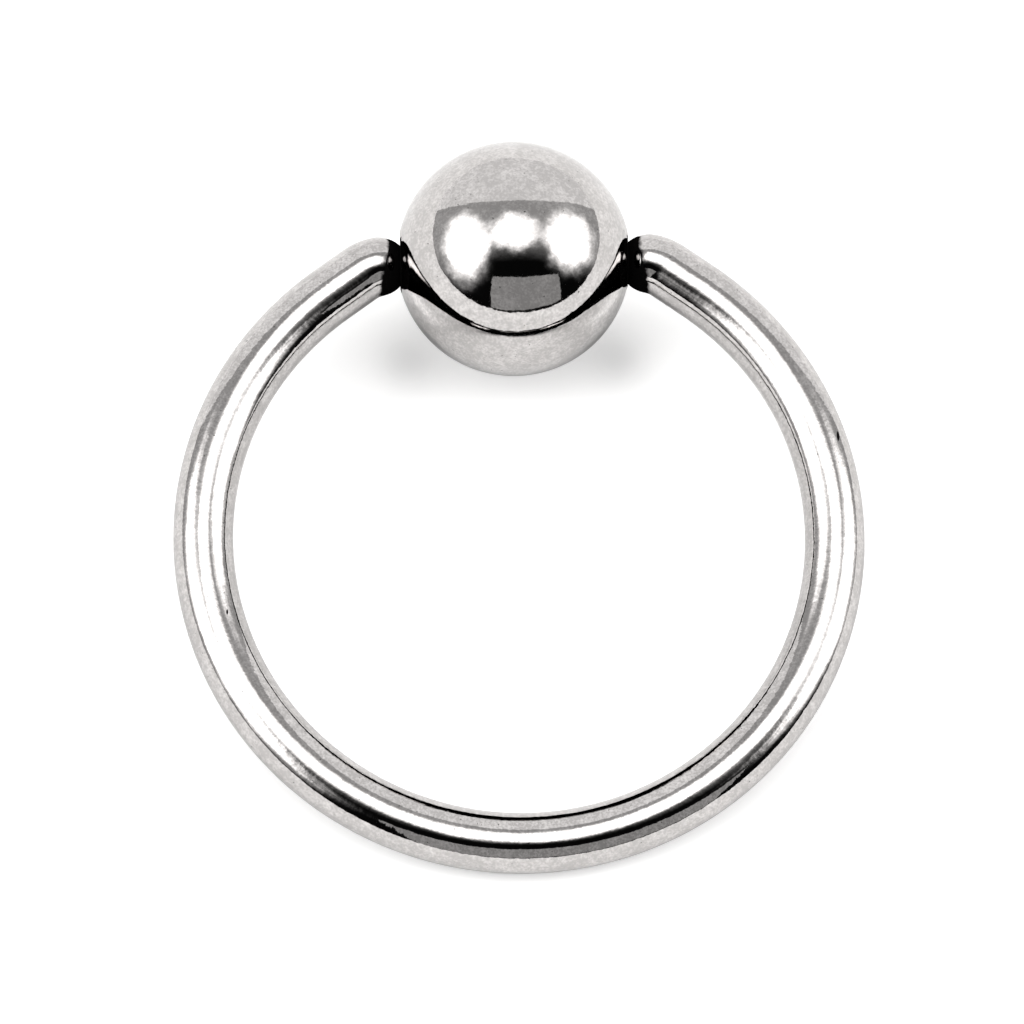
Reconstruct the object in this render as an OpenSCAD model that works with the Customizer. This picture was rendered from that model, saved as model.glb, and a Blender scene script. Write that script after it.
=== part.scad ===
// Captive bead ring: a round wire bent into a ring that is open on one side,
// and a bead that the two rounded wire ends hold in its dimples.
// It lies on a level surface at z = 0, on the bead and on the side of the wire opposite the bead.
// +X runs along the line through both wire ends, +Y from the middle of the ring towards the bead
// and +Z up. All lengths are millimetres.

/* [Ring] */
// Diameter of the hollow inside the ring
ring_inside_d = 19.05; // [16:0.05:26]
// Diameter of the round wire
wire_d = 2.0; // [1.6:0.05:2.4]

/* [Wire ends] */
// Length of the straight stretch that leads to each end
straight_length = 1.2; // [0.4:0.1:2]
// Radius of the short bend that turns each end towards the bead, along the middle of the wire
end_bend_r = 1.6; // [1.3:0.1:2.5]
// Angle that each end keeps from the line through both ends
end_lean = 12; // [6:1:18]
// Radius of the nose, as a share of the wire's radius
nose_share = 0.8; // [0.65:0.05:0.9]
// Radius of the flank that leads to the nose, as a share of the wire's radius
flank_share = 1.1; // [1.05:0.05:1.4]

/* [Bead] */
// Diameter of the bead
bead_d = 7.94; // [7:0.02:10]
// How far each nose reaches into the ball
end_reach = 0.42; // [0.3:0.01:0.5]
// Radius of each dimple's round hollow, as a share of the wire's radius
dimple_share = 1.12; // [1.12:0.01:1.3]
// Depth of each dimple, as a share of the wire's radius
dimple_depth_share = 0.67; // [0.67:0.01:0.9]

/* [Hidden] */
$fn = 128;

wire_r = wire_d / 2;
ring_r = ring_inside_d / 2 + wire_r;
bead_r = bead_d / 2;

// The end's outline is a flank arc that runs on into a nose arc, which it meets at flank_length.
nose_r = nose_share * wire_r;
flank_r = flank_share * wire_r;
nose_centre = sqrt(pow(nose_r, 2) - pow(wire_r, 2) + 2 * flank_r * (wire_r - nose_r));
flank_length = flank_r * nose_centre / (flank_r - nose_r);
end_length = nose_centre + nose_r;

// The ring is open by as much as brings both noses end_reach into the ball.
end_x = bead_r - end_reach + end_length * cos(end_lean);
bend_x = end_x - end_bend_r * sin(end_lean);
half_opening = asin(bend_x / norm([ring_r - end_bend_r, straight_length]))
             + atan2(straight_length, ring_r - end_bend_r);
end_turn = half_opening - end_lean;
spare_turn = 10;
bend_y = (ring_r - end_bend_r) * cos(half_opening) + straight_length * sin(half_opening);
bead_y = bend_y + end_bend_r * cos(end_lean) + end_length * sin(end_lean);

dimple_r = dimple_share * wire_r;
dimple_x = bead_r - dimple_depth_share * wire_r + dimple_r;

// The bead is thicker than the wire, so the ring lies tilted by this angle.
tilt = asin((bead_r - wire_r) / (ring_r + bead_y));
ring_lift = wire_r + ring_r * sin(tilt);
near_y = -ring_r * cos(tilt) - wire_r;
far_y = bead_y * cos(tilt) + bead_r;
middle_y = (near_y + far_y) / 2;

// Sets what is drawn in the ring's own plane, about its centre, down on the surface
module at_rest() {
    translate([0, -middle_y, ring_lift]) rotate([tilt, 0, 0]) children();
}

// Wire bent about the origin, which starts at +Y and turns towards -X
module wire_loop(loop_r, turn) {
    rotate([0, 0, 90]) rotate_extrude(angle = turn) translate([loop_r, 0]) circle(wire_r);
}

// A block over the first stretch of such a loop, which leaves it a flat end at +Y
module end_cut(loop_r, turn) {
    width = (loop_r + wire_d) * sin(turn);
    near = (loop_r - wire_d) * cos(turn);
    translate([-width, near, -wire_d]) cube([width, loop_r + wire_d - near, 2 * wire_d]);
}

// Half of the nose's outline, from the middle of the wire out, with the nose up
module nose_outline() {
    intersection() {
        translate([wire_r - flank_r, 0]) circle(flank_r);
        square([wire_r, flank_length]);
    }
    intersection() {
        translate([0, nose_centre]) circle(nose_r);
        translate([0, flank_length]) square([wire_r, end_length]);
    }
}

// A wire end that starts at the origin towards -X: straight stretch, short bend and nose
module wire_end() {
    rotate([0, -90, 0]) cylinder(h = straight_length, r = wire_r);
    translate([-straight_length, -end_bend_r, 0]) {
        difference() {
            wire_loop(end_bend_r, end_turn + spare_turn);
            rotate([0, 0, end_turn]) end_cut(end_bend_r, spare_turn);
        }
        rotate([0, 0, end_turn]) translate([0, end_bend_r, 0])
            rotate([0, -90, 0]) rotate_extrude() nose_outline();
    }
}

// The half of the ring on the +X side, cut off flat where the other half meets it
module half_ring() {
    difference() {
        rotate([0, 0, -half_opening]) {
            mirror([1, 0, 0]) wire_loop(ring_r, 180 - half_opening + spare_turn);
            translate([0, ring_r, 0]) wire_end();
        }
        mirror([0, 1, 0]) end_cut(ring_r, spare_turn);
    }
}

module ring() {
    color("silver") at_rest() {
        half_ring();
        mirror([1, 0, 0]) half_ring();
    }
}

module bead() {
    color("gainsboro") at_rest() translate([0, bead_y, 0]) difference() {
        sphere(bead_r);
        for (side = [-1, 1]) translate([side * dimple_x, 0, 0]) sphere(dimple_r);
    }
}

ring();
bead();
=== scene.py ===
from math import asin, atan2, cos, hypot, pi, radians, sin, sqrt

import bmesh
import bpy
from mathutils import Matrix, Quaternion, Vector


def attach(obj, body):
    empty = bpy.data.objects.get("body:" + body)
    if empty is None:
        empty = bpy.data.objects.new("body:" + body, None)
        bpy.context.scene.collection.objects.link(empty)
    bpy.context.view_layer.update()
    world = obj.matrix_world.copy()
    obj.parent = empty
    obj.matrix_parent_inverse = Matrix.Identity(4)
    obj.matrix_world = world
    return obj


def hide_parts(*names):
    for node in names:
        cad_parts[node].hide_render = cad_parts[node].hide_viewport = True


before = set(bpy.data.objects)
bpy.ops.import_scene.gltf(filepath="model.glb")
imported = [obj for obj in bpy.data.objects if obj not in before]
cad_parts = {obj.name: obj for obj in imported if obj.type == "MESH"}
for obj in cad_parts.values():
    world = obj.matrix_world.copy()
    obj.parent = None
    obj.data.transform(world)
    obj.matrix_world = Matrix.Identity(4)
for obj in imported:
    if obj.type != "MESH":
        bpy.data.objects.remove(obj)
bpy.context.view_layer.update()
print("frame loaded:", sorted(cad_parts))

mm = 0.001
weldDistance = 1e-5  # in millimetres

# Glossy depth is 1 in a reflection and 2 in a reflection of a reflection
firstDepth, betweenDepths = 1.0, 1.5

# A Mix node's sockets for colours
mixA, mixB, mixResult = 6, 7, 2


def vertsIn(geometry):
    return [g for g in geometry if isinstance(g, bmesh.types.BMVert)]


def edgesIn(geometry):
    return [g for g in geometry if isinstance(g, bmesh.types.BMEdge)]


def vertsOf(edges):
    # each once, in the same order every time
    return list(dict.fromkeys(v for e in edges for v in e.verts))


def growLoop(bm, loop, step, middle, share):
    # pulls a round loop of edges out along step, and draws it in about its middle
    made = bmesh.ops.extrude_edge_only(bm, edges=loop)["geom"]
    verts = vertsIn(made)
    middle = middle + step
    bmesh.ops.translate(bm, verts=verts, vec=step)
    bmesh.ops.scale(bm, verts=verts, vec=(share,) * 3, space=Matrix.Translation(-middle))
    new = set(verts)
    return [e for e in edgesIn(made) if e.verts[0] in new and e.verts[1] in new], middle


def closeLoop(bm, loop, step, middle):
    # pulls the loop out once more, to a single point
    loop, middle = growLoop(bm, loop, step, middle, 1)
    bmesh.ops.pointmerge(bm, verts=vertsOf(loop), merge_co=middle)


def smoothFaces(bm):
    for face in bm.faces:
        face.smooth = True


def addObject(bm, name, material):
    mesh = bpy.data.meshes.new(name)
    bm.to_mesh(mesh)
    bm.free()
    mesh.materials.append(material)
    thing = bpy.data.objects.new(name, mesh)
    bpy.context.scene.collection.objects.link(thing)
    return thing


class Wiring:
    # adds nodes to one tree: what goes into a socket is a value or another node's socket
    def __init__(self, tree):
        self.nodes, self.links = tree.nodes, tree.links

    def fill(self, sockets, values):
        for socket, value in zip(sockets, values):
            if isinstance(value, bpy.types.NodeSocket):
                self.links.new(value, socket)
            else:
                socket.default_value = value

    def add(self, kind, *values):
        node = self.nodes.new("ShaderNode" + kind)
        self.fill(node.inputs, values)
        return node

    def maths(self, operation, *values, clamped=False):
        node = self.add("Math", *values)
        node.operation = operation
        node.use_clamp = clamped
        return node.outputs["Value"]

    def vectors(self, operation, *values):
        node = self.add("VectorMath", *values)
        node.operation = operation
        return node.outputs["Value" if operation == "LENGTH" else "Vector"]

    def axes(self, vector):
        return self.add("SeparateXYZ", vector).outputs

    def spread(self, value, low, high, toLow=0, toHigh=1, kind="LINEAR"):
        # carries low to high over to toLow to toHigh, and stops there
        node = self.add("MapRange", value, low, high, toLow, toHigh)
        node.interpolation_type = kind
        return node.outputs["Result"]

    def blend(self, share, first, second):
        node = self.add("Mix", share)
        node.data_type = "RGBA"
        colours = [(*value, 1) if isinstance(value, tuple) else value for value in (first, second)]
        self.fill((node.inputs[mixA], node.inputs[mixB]), colours)
        return node.outputs[mixResult]

    def noise(self, vector, size, detail):
        node = self.add("TexNoise", vector)
        node.inputs["Scale"].default_value = 1 / size
        node.inputs["Detail"].default_value = detail
        return node.outputs


# Polished steel: lengths in millimetres. Each kind of dullness and the pits come from a noise of
# their own, which fades in from one of its values to another. A noise's "place" is in metres
steelLook = {
    "colour": (0.735, 0.709, 0.698),
    "dull": (0.512, 0.493, 0.484),  # where the polish is duller
    "haze": {"size": 0.9, "detail": 3, "place": 0.011, "from": 0.38, "to": 0.66, "full": 0.36},
    "cloud": {"size": 0.22, "detail": 3, "place": 0.023, "from": 0.36, "to": 0.68, "full": 0.60},
    "speckle": {"size": 0.085, "detail": 2, "place": 0.029, "from": 0.38, "to": 0.62,
                "full": 0.60},
    "pits": {"size": 0.11, "detail": 1, "place": 0.031, "from": 0.74, "to": 0.79, "full": 1},
    "pitColour": (0.16, 0.155, 0.15),
    "roughness": (0.012, 0.05),  # of clean and of dull steel
    "waveDetail": 2,
    "wavePlace": 0.037,
    "nextWavePlace": 0.004,  # how far on from it the next wave's is
    "paintedShadeAndNickColour": (0.003, 0.0028, 0.0028),  # painted shade where the wire and the bead meet, and the colour of the nicks
    "paintedShadeAndNickRoughness": 0.08,
    "paintedShadeAndNickFull": 0.995,  # from here on the painted shade mirrors nothing
    "raggedSize": 0.25,  # of the noise that the painted shade's edge follows
    "raggedDetail": 2,
    "raggedPlace": 0.047,
    "spotEdge": (0.8, 1.2),  # from where to where a spot fades, in shares of its size
}

# The wire ring: lengths in millimetres, angles in degrees
ringLook = {
    "insideDiameter": 19.05,
    "wireDiameter": 2.0,
    "straightLength": 1.2,  # straight stretch that leads to each end
    "endBendRadius": 1.6,  # short bend that turns each end towards the bead
    "endLean": 12.0,  # angle that an end keeps from the line through both ends
    "noseShare": 0.8,  # radius of the nose, as a share of the wire's
    "flankShare": 1.1,  # radius of the flank that leads to it
    "wireSides": 80,
    "arcSteps": 128,  # for one half of the ring
    "straightSteps": 4,
    "bendSteps": 18,
    "noseSteps": 22,
    "seed": 0.3,  # its own place in the steel's noises, in metres
    "waves": ((0.9, 0.008), (0.24, 0.0035)),  # slight unevenness: sizes and depths
    "paintedShadeAndNicks": (3.0, 4.26),  # painted shade on the noses, where they meet the bead: how far from the plane halfway between them
    "paintedShadeY": (0, 12),  # and from where to where in Y
    "paintedShadeRagged": 0.1,
    "paintedShadeLean": (8.4, 0.25),  # short of this Y the painted shade lies further out, by this for each millimetre
    "paintedShadeGaps": [((-4.16, 8.07, 4.67), (0.11, 0.26, 0.26)),  # gaps in the painted shade, where bare steel shows: middle and size
             ((4.16, 8.07, 4.67), (0.11, 0.26, 0.26))],
    "nicks": [((10.69, 1.81, 3.79), (0.05, 0.18, 0.2)),  # small dark marks
              ((-9.71, -3.97, 3.03), (0.035, 0.09, 0.1))],
}

# The bead: lengths in millimetres
beadLook = {
    "diameter": 7.94,
    "endReach": 0.42,  # how far each nose reaches into the ball
    "dimpleShare": 1.12,  # radius of the dimple's hollow, as a share of the wire's
    "dimpleDepthShare": 0.67,
    "rimRounding": 0.03,
    "rimSteps": 3,
    "around": 192,
    "poleToPole": 112,
    "dimpleSteps": 16,
    "seed": 0.7,
    "waves": ((1.6, 0.006), (0.3, 0.0022)),
    "paintedShadeAndNicks": (3.8, 9.0),  # painted shade on the rims of the dimples and in them, where the wire ends sit
    "paintedShadeY": (0, 8.85),
    "paintedShadeRagged": 0.02,
    "paintedShadeLean": (0, 0),
    "paintedShadeGaps": [],
    "nicks": [((-1.55, 7.1, 7.62), (0.07, 0.035, 0.1))],
}


def makeSteel(name, look):
    steel = bpy.data.materials.new(name)
    steel.use_nodes = True
    shader = steel.node_tree.nodes["Principled BSDF"]
    wiring = Wiring(steel.node_tree)
    place = wiring.nodes.new("ShaderNodeTexCoord").outputs["Object"]
    x, y, _ = wiring.axes(place)

    def noise(size, detail, shift):
        moved = wiring.add("Mapping", place, (shift, look["seed"], -shift)).outputs["Vector"]
        return wiring.noise(moved, size * mm, detail)["Fac"]

    def patches(kind):
        value = noise(kind["size"], kind["detail"], kind["place"])
        return wiring.spread(value, kind["from"], kind["to"], 0, kind["full"])

    def spot(middle, size):
        mapping = wiring.add("Mapping", place)
        mapping.vector_type = "TEXTURE"
        mapping.inputs["Location"].default_value = Vector(middle) * mm
        mapping.inputs["Scale"].default_value = Vector(size) * mm
        reach = wiring.vectors("LENGTH", mapping.outputs["Vector"])
        return wiring.spread(reach, *steelLook["spotEdge"], 1, 0)

    dullness = patches(steelLook["haze"])
    for kind in ("cloud", "speckle"):
        dullness = wiring.maths("ADD", dullness, patches(steelLook[kind]), clamped=True)
    tone = wiring.blend(dullness, steelLook["colour"], steelLook["dull"])
    tone = wiring.blend(patches(steelLook["pits"]), tone, steelLook["pitColour"])

    # painted shade where the wire and the bead meet, on both sides alike; the nicks join it below
    ragged = look["paintedShadeRagged"] * mm
    uneven = noise(steelLook["raggedSize"], steelLook["raggedDetail"], steelLook["raggedPlace"])
    uneven = wiring.maths("MULTIPLY_ADD", uneven, 2 * ragged, -ragged)
    side = wiring.maths("ADD", wiring.maths("ABSOLUTE", x), uneven)
    leanFrom, slope = look["paintedShadeLean"]
    short = wiring.maths("MAXIMUM", wiring.maths("SUBTRACT", leanFrom * mm, y), 0)
    side = wiring.maths("SUBTRACT", side, wiring.maths("MULTIPLY", short, slope))
    start, end = (distance * mm for distance in look["paintedShadeAndNicks"])
    paintedShadeAndNicks = wiring.maths("MULTIPLY", wiring.spread(side, start - ragged / 2, start + ragged / 2),
                        wiring.spread(side, end - ragged / 2, end + ragged / 2, 1, 0))
    for operation, limit in zip(("GREATER_THAN", "LESS_THAN"), look["paintedShadeY"]):
        paintedShadeAndNicks = wiring.maths("MULTIPLY", paintedShadeAndNicks, wiring.maths(operation, y, limit * mm))
    for middle, size in look["paintedShadeGaps"]:
        paintedShadeAndNicks = wiring.maths("SUBTRACT", paintedShadeAndNicks, spot(middle, size), clamped=True)
    for middle, size in look["nicks"]:
        paintedShadeAndNicks = wiring.maths("MAXIMUM", paintedShadeAndNicks, spot(middle, size))

    def join(value, socketName):
        wiring.links.new(value, shader.inputs[socketName])

    join(wiring.blend(paintedShadeAndNicks, tone, steelLook["paintedShadeAndNickColour"]), "Base Color")
    join(wiring.blend(paintedShadeAndNicks, (1, 1, 1), (0, 0, 0)), "Specular Tint")
    join(wiring.maths("LESS_THAN", paintedShadeAndNicks, steelLook["paintedShadeAndNickFull"]), "Metallic")
    shader.inputs["Specular IOR Level"].default_value = 0  # only the metal mirrors
    rough = wiring.add("Mix", paintedShadeAndNicks)
    rough.inputs["B"].default_value = steelLook["paintedShadeAndNickRoughness"]
    wiring.links.new(wiring.spread(dullness, 0, 1, *steelLook["roughness"]), rough.inputs["A"])
    join(rough.outputs["Result"], "Roughness")

    normal = None
    for number, (size, depth) in enumerate(look["waves"]):
        bump = wiring.nodes.new("ShaderNodeBump")
        bump.inputs["Strength"].default_value = 1
        bump.inputs["Distance"].default_value = depth * mm
        shift = steelLook["wavePlace"] + number * steelLook["nextWavePlace"]
        wiring.links.new(noise(size, steelLook["waveDetail"], shift), bump.inputs["Height"])
        if normal:
            wiring.links.new(normal, bump.inputs["Normal"])
        normal = bump.outputs["Normal"]
    join(normal, "Normal")
    return steel


wireR = ringLook["wireDiameter"] / 2
ringR = ringLook["insideDiameter"] / 2 + wireR
beadR = beadLook["diameter"] / 2
lean = radians(ringLook["endLean"])
bendR = ringLook["endBendRadius"]
straight = ringLook["straightLength"]

# The end's outline is a flank arc that runs on into a nose arc
noseR = ringLook["noseShare"] * wireR
flankR = ringLook["flankShare"] * wireR
noseCentre = sqrt(noseR ** 2 - wireR ** 2 + 2 * flankR * (wireR - noseR))
flankLength = flankR * noseCentre / (flankR - noseR)
endLength = noseCentre + noseR

endX = beadR - beadLook["endReach"] + endLength * cos(lean)
bendX = endX - bendR * sin(lean)
halfOpening = asin(bendX / hypot(ringR - bendR, straight)) + atan2(straight, ringR - bendR)
bendY = (ringR - bendR) * cos(halfOpening) + straight * sin(halfOpening)
beadY = bendY + bendR * cos(lean) + endLength * sin(lean)

dimpleR = beadLook["dimpleShare"] * wireR
dimpleX = beadR - beadLook["dimpleDepthShare"] * wireR + dimpleR

tilt = asin((beadR - wireR) / (ringR + beadY))  # the bead is thicker than the wire
ringLift = wireR + ringR * sin(tilt)
middleY = (beadY * cos(tilt) + beadR - ringR * cos(tilt) - wireR) / 2

# From the ring's own plane, about its centre, down on the floor
atRest = Matrix.Translation((0, -middleY, ringLift)) @ Matrix.Rotation(tilt, 4, "X")


def makePiece(bm, name, body, node, material):
    bmesh.ops.transform(bm, matrix=Matrix.Scale(mm, 4) @ atRest, verts=bm.verts)
    bmesh.ops.recalc_face_normals(bm, faces=bm.faces)
    smoothFaces(bm)
    piece = addObject(bm, name, material)
    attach(piece, body)
    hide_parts(node)
    print(name, "made:", len(piece.data.polygons), "faces")


def makeRing():
    bm = bmesh.new()
    start = Matrix.Translation((0, -ringR, 0)) @ Matrix.Rotation(pi / 2, 4, "Y")
    bmesh.ops.create_circle(bm, segments=ringLook["wireSides"], radius=wireR, matrix=start)
    made = bmesh.ops.spin(bm, geom=bm.verts[:] + bm.edges[:], cent=(0, 0, 0), axis=(0, 0, 1),
                          angle=pi - halfOpening, steps=ringLook["arcSteps"])
    loop = edgesIn(made["geom_last"])

    # the straight stretch, which carries on where the arc stops
    ahead = Vector((-cos(halfOpening), sin(halfOpening), 0))
    outward = Vector((sin(halfOpening), cos(halfOpening), 0))
    middle = outward * ringR
    for _ in range(ringLook["straightSteps"]):
        loop, middle = growLoop(bm, loop, ahead * straight / ringLook["straightSteps"], middle, 1)

    # the short bend towards the bead
    bendCentre = middle - outward * bendR
    made = bmesh.ops.spin(bm, geom=loop + vertsOf(loop), cent=bendCentre, axis=(0, 0, 1),
                          angle=halfOpening - lean, steps=ringLook["bendSteps"])
    loop = edgesIn(made["geom_last"])

    # the rounded end
    ahead = Vector((-cos(lean), sin(lean), 0))
    middle = bendCentre + Vector((sin(lean), cos(lean), 0)) * bendR
    steps = ringLook["noseSteps"]
    along, size = 0, wireR
    for step in range(1, steps):
        nextAlong = endLength * sin(step / steps * pi / 2)
        if nextAlong < flankLength:
            nextSize = wireR - flankR + sqrt(flankR ** 2 - nextAlong ** 2)
        else:
            nextSize = sqrt(noseR ** 2 - (nextAlong - noseCentre) ** 2)
        loop, middle = growLoop(bm, loop, ahead * (nextAlong - along), middle, nextSize / size)
        along, size = nextAlong, nextSize
    closeLoop(bm, loop, ahead * (endLength - along), middle)

    # the other half
    bmesh.ops.mirror(bm, geom=bm.verts[:] + bm.edges[:] + bm.faces[:], axis="X",
                     merge_dist=weldDistance)
    bmesh.ops.remove_doubles(bm, verts=bm.verts, dist=weldDistance)
    makePiece(bm, "wireRing", "ring", "ring", makeSteel("ringSteel", ringLook))


def makeBead():
    bm = bmesh.new()
    bmesh.ops.create_uvsphere(bm, u_segments=beadLook["around"],
                              v_segments=beadLook["poleToPole"], radius=beadR,
                              matrix=Matrix.Rotation(pi / 2, 4, "Y"))
    rimX = (beadR ** 2 + dimpleX ** 2 - dimpleR ** 2) / (2 * dimpleX)
    rimR = sqrt(beadR ** 2 - rimX ** 2)
    opening = asin(rimR / dimpleR)  # half the angle that the dimple's arc covers
    steps = beadLook["dimpleSteps"]
    for side in (-1, 1):
        cut = bmesh.ops.bisect_plane(bm, geom=bm.verts[:] + bm.edges[:] + bm.faces[:],
                                     plane_co=(side * rimX, 0, 0), plane_no=(side, 0, 0),
                                     clear_outer=True)
        loop = edgesIn(cut["geom_cut"])
        rim = loop[:]
        middle = Vector((side * rimX, 0, 0))
        size, x = rimR, rimX
        for step in range(1, steps):
            turn = opening * (1 - step / steps)
            nextSize, nextX = dimpleR * sin(turn), dimpleX - dimpleR * cos(turn)
            loop, middle = growLoop(bm, loop, Vector((side * (nextX - x), 0, 0)), middle,
                                    nextSize / size)
            size, x = nextSize, nextX
        closeLoop(bm, loop, Vector((side * (dimpleX - dimpleR - x), 0, 0)), middle)
        bmesh.ops.bevel(bm, geom=rim, offset=beadLook["rimRounding"], offset_type="OFFSET",
                        affect="EDGES", segments=beadLook["rimSteps"], profile=0.5, material=-1)
    bmesh.ops.translate(bm, verts=bm.verts, vec=(0, beadY, 0))
    makePiece(bm, "dimpledBead", "bead", "bead", makeSteel("beadSteel", beadLook))


makeRing()
makeBead()


# Floor: lengths in metres. "sheen" is a painted pool of light that only the steel's first
# reflections see, and "shade" a
# painted shadow: soft patches to the left and right of the bead, whose places and sizes are in
# millimetres
floorLook = {
    "colour": (0.80, 0.798, 0.794),
    "roughness": 0.9,
    "glow": 0.38,  # extra light that the camera alone sees, as through a lit plate
    "flat": 0.25,  # radius of the level part
    "edge": 0.62,
    "rise": 0.055,  # how far the plate curves up at its edge
    "frontRise": 4.0,  # and how much further at the front, and at the left, in degrees
    "leftRise": 2.5,
    "steps": 12,
    "around": 128,
    "mirroredGlow": 0.05,  # extra light that the steel sees in it
    "sheen": {"strength": 0.6, "at": (8.5, 6.0), "size": (1.5, 3.0)},  # and a painted pool of it in two places
    "shade": {"strength": 0.42, "at": (3.6, 6.7), "size": (1.1, 1.1)},  # painted deeper shadow
}


def makeFloor():
    plate = bpy.data.materials.new("floorPlate")
    plate.use_nodes = True
    plate.cycles.emission_sampling = "NONE"
    shader = plate.node_tree.nodes["Principled BSDF"]
    wiring = Wiring(plate.node_tree)
    maths = wiring.maths
    x, y, _ = wiring.axes(wiring.nodes.new("ShaderNodeTexCoord").outputs["Object"])

    def patch(look):
        squares = [maths("POWER", maths("DIVIDE", maths("SUBTRACT", way, at * mm), size * mm), 2)
                   for way, at, size in zip((maths("ABSOLUTE", x), y), look["at"], look["size"])]
        fade = maths("EXPONENT", maths("MULTIPLY", maths("ADD", *squares), -1))
        return maths("MULTIPLY", fade, look["strength"])

    tone = wiring.blend(patch(floorLook["shade"]), floorLook["colour"], (0, 0, 0))
    rays = wiring.nodes.new("ShaderNodeLightPath").outputs
    inFirst = maths("COMPARE", rays["Glossy Depth"], firstDepth, betweenDepths - firstDepth)
    mirrored = maths("ADD", patch(floorLook["sheen"]), floorLook["mirroredGlow"])
    glow = maths("ADD", maths("MULTIPLY", rays["Is Camera Ray"], floorLook["glow"]),
                 maths("MULTIPLY", mirrored, inFirst))
    wiring.links.new(tone, shader.inputs["Base Color"])
    wiring.links.new(glow, shader.inputs["Emission Strength"])
    shader.inputs["Emission Color"].default_value = (1, 1, 1, 1)
    shader.inputs["Roughness"].default_value = floorLook["roughness"]
    shader.inputs["Specular IOR Level"].default_value = 0

    bm = bmesh.new()
    flat, edge, steps = floorLook["flat"], floorLook["edge"], floorLook["steps"]
    bmesh.ops.create_circle(bm, cap_ends=True, segments=floorLook["around"], radius=flat)
    loop = [e for e in bm.edges if len(e.link_faces) == 1]
    middle, size = Vector((0, 0, 0)), flat
    turn = (Matrix.Rotation(-radians(floorLook["frontRise"]) / steps, 4, "X")
            @ Matrix.Rotation(radians(floorLook["leftRise"]) / steps, 4, "Y"))
    for step in range(1, steps + 1):
        nextSize = flat + (edge - flat) * (step / steps)
        up = floorLook["rise"] * ((step / steps) ** 2 - ((step - 1) / steps) ** 2)
        loop, middle = growLoop(bm, loop, Vector((0, 0, up)), middle, nextSize / size)
        bmesh.ops.rotate(bm, verts=vertsOf(loop), matrix=turn, cent=middle)
        size = nextSize
    smoothFaces(bm)
    floor = addObject(bm, "floor", plate)


# Front card, at the front and turned up to face the ring: metres and degrees. "across" and
# "upDown" are from where to where it reaches on that plane
frontCard = {"fromZenith": 60, "distance": 1.0, "across": (-0.42, 0.93), "upDown": (-0.34, 0.27),
             "glow": 0.36}


def makeFrontCard():
    grey = bpy.data.materials.new("greyCard")
    grey.use_nodes = True
    wiring = Wiring(grey.node_tree)
    wiring.nodes.remove(wiring.nodes["Principled BSDF"])
    # it glows in a first reflection, and not in a reflection of a reflection
    depth = wiring.nodes.new("ShaderNodeLightPath").outputs["Glossy Depth"]
    strength = wiring.maths("MULTIPLY", wiring.maths("LESS_THAN", depth, betweenDepths),
                            frontCard["glow"])
    glow = wiring.nodes.new("ShaderNodeEmission")
    wiring.links.new(strength, glow.inputs["Strength"])
    wiring.links.new(glow.outputs["Emission"], wiring.nodes["Material Output"].inputs["Surface"])

    (left, right), (low, high) = frontCard["across"], frontCard["upDown"]
    bm = bmesh.new()
    bmesh.ops.create_grid(bm, x_segments=1, y_segments=1, size=0.5)
    bmesh.ops.scale(bm, verts=bm.verts, vec=(right - left, high - low, 1))
    bmesh.ops.translate(bm, verts=bm.verts,
                        vec=((left + right) / 2, (low + high) / 2, frontCard["distance"]))
    turn = Matrix.Rotation(radians(frontCard["fromZenith"]), 4, "X")
    bmesh.ops.rotate(bm, verts=bm.verts, matrix=turn, cent=(0, 0, 0))
    card = addObject(bm, "frontCard", grey)
    card.visible_camera = card.visible_diffuse = card.visible_shadow = False


# Lights, on a plan of the sky in degrees: straight overhead is its middle, "east" and
# "north" lead towards +X and +Y, and "wide" and "deep" are half of what a light fills, and
# "edge" is how sharply it ends
skyLights = {
    "left": {"east": -50, "north": -8, "wide": 21, "deep": 29, "glow": 4.8, "edge": 4.0},
    "middle": {"east": 0, "north": 0, "wide": 20.5, "deep": 15.5, "glow": 3.0, "edge": 4.2},
    "right": {"east": 55, "north": 0, "wide": 21, "deep": 25, "glow": 4.6, "edge": 4.0},
    "betweenLeft": {"east": -26, "north": -7, "wide": 8, "deep": 9, "glow": 1.1, "edge": 3.0},
    "betweenRight": {"east": 29, "north": -4, "wide": 7, "deep": 8, "glow": 0.8, "edge": 3.0},
}
skyLook = {
    "ragged": 9.0,  # how far the noise pushes their edges about, in degrees
    "raggedSize": 0.22,
    "raggedDetail": 4,
    "wall": 0.46,  # glow of the back half of the room
    "wallFrom": (-30, 5),  # plan's north, from where it fades in to where it is full
    "card": 1.0,  # glow of the back card, which reaches down to the floor
    "cardFrom": 30.5,  # plan's north where it starts, straight behind the bead
    "cardBow": 19,  # and how much further back it starts at "cardSide"
    "cardSide": 75,
    "cardEdge": 1.5,
    "dark": 0.003,
    "deepest": 2.0,  # a reflection of a reflection shows only what is brighter than this
    "backdrop": 1.1,  # what the camera itself sees past the floor
}


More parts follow.
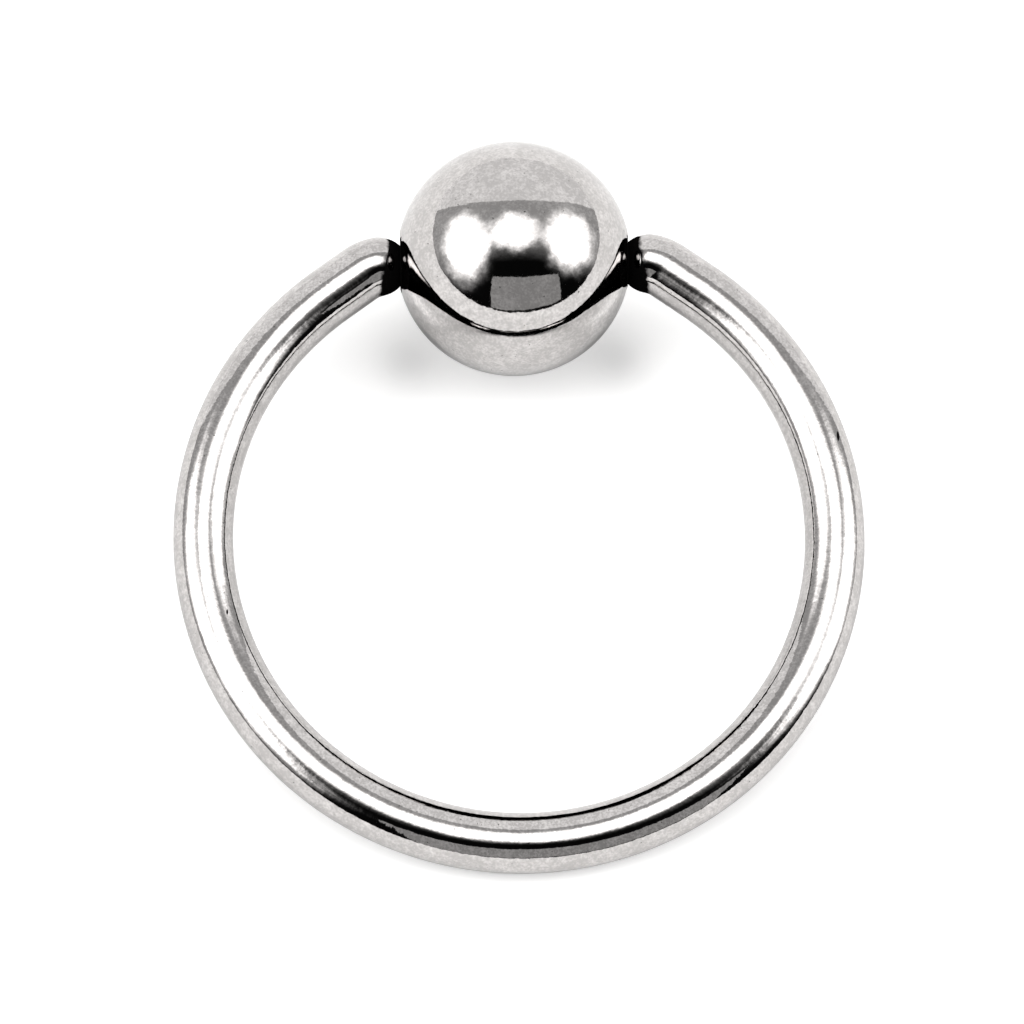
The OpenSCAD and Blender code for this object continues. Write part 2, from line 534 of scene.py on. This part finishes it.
def makeSky():
    sky = bpy.data.worlds.new("studioSky")
    sky.use_nodes = True
    wiring = Wiring(sky.node_tree)
    maths, vectors = wiring.maths, wiring.vectors

    way = wiring.nodes.new("ShaderNodeTexCoord").outputs["Generated"]
    fromZenith = maths("DEGREES", maths("ARCCOSINE", wiring.axes(way)["Z"]))
    level = vectors("NORMALIZE", vectors("MULTIPLY", way, (1, 1, 0)))
    scaled = wiring.add("VectorMath", level)
    scaled.operation = "SCALE"
    wiring.links.new(fromZenith, scaled.inputs["Scale"])
    plan = scaled.outputs["Vector"]
    east, north, _ = wiring.axes(plan)

    noise = wiring.noise(way, skyLook["raggedSize"], skyLook["raggedDetail"])["Color"]
    push = vectors("MULTIPLY", vectors("SUBTRACT", noise, (0.5, 0.5, 0.5)),
                   (2 * skyLook["ragged"],) * 3)
    uneven = vectors("ADD", plan, push)

    total = skyLook["dark"]
    noHeight = 1e9  # the plan is flat, so its third number is divided away
    for light in skyLights.values():
        middle = (light["east"], light["north"], 0)
        size = (light["wide"], light["deep"], noHeight)
        reach = vectors("LENGTH", vectors("DIVIDE", vectors("SUBTRACT", uneven, middle), size))
        fade = maths("EXPONENT", maths("MULTIPLY", maths("POWER", reach, light["edge"]), -1))
        total = maths("ADD", maths("MULTIPLY", fade, light["glow"]), total)

    wall = wiring.spread(north, *skyLook["wallFrom"], kind="SMOOTHSTEP")
    total = maths("ADD", total, maths("MULTIPLY", wall, skyLook["wall"]))
    bow = maths("MULTIPLY", maths("POWER", maths("ABSOLUTE", east), 2),
                skyLook["cardBow"] / skyLook["cardSide"] ** 2)
    past = maths("SUBTRACT", maths("SUBTRACT", north, skyLook["cardFrom"]), bow)
    card = wiring.spread(past, 0, skyLook["cardEdge"], kind="SMOOTHSTEP")
    total = maths("ADD", total, maths("MULTIPLY", card, skyLook["card"] - skyLook["wall"]))

    rays = wiring.nodes.new("ShaderNodeLightPath").outputs
    bright = maths("MAXIMUM", maths("SUBTRACT", total, skyLook["deepest"]), 0)
    again = maths("GREATER_THAN", rays["Glossy Depth"], betweenDepths)
    total = maths("ADD", total, maths("MULTIPLY", again, maths("SUBTRACT", bright, total)))

    background = wiring.nodes["Background"]
    backdrop = wiring.nodes.new("ShaderNodeBackground")
    wiring.fill(background.inputs, ((1, 1, 1, 1), total))
    wiring.fill(backdrop.inputs, ((1, 1, 1, 1), skyLook["backdrop"]))
    seen = wiring.add("MixShader", rays["Is Camera Ray"], background.outputs["Background"],
                      backdrop.outputs["Background"])
    wiring.links.new(seen.outputs["Shader"], wiring.nodes["World Output"].inputs["Surface"])
    bpy.context.scene.world = sky


makeFloor()
makeFrontCard()
makeSky()
print("studio made")

# Camera: lengths in millimetres, angles in degrees
cameraLook = {"azimuth": -3.532, "elevation": 65.171, "roll": 2.464, "distance": 174.11,
              "target": (-0.155, 0.923, 0.0), "lens": 180.34, "sensor": 36, "clip": (10, 10000)}
azimuth, elevation = radians(cameraLook["azimuth"]), radians(cameraLook["elevation"])
back = Vector((sin(azimuth) * cos(elevation), -cos(azimuth) * cos(elevation), sin(elevation)))
camera = bpy.data.objects.new("camera", bpy.data.cameras.new("camera"))
bpy.context.scene.collection.objects.link(camera)
camera.data.lens = cameraLook["lens"]
camera.data.sensor_width = cameraLook["sensor"]
camera.data.clip_start, camera.data.clip_end = (distance * mm for distance in cameraLook["clip"])
camera.rotation_mode = "QUATERNION"
roll = Quaternion((0, 0, 1), radians(cameraLook["roll"]))
camera.rotation_quaternion = back.to_track_quat("Z", "Y") @ roll
camera.location = (Vector(cameraLook["target"]) + back * cameraLook["distance"]) * mm
bpy.context.scene.camera = camera
bpy.context.scene.view_settings.view_transform = "Standard"
bpy.context.scene.cycles.glossy_bounces = 1  # a second reflection meets nothing but the sky
print("camera placed")
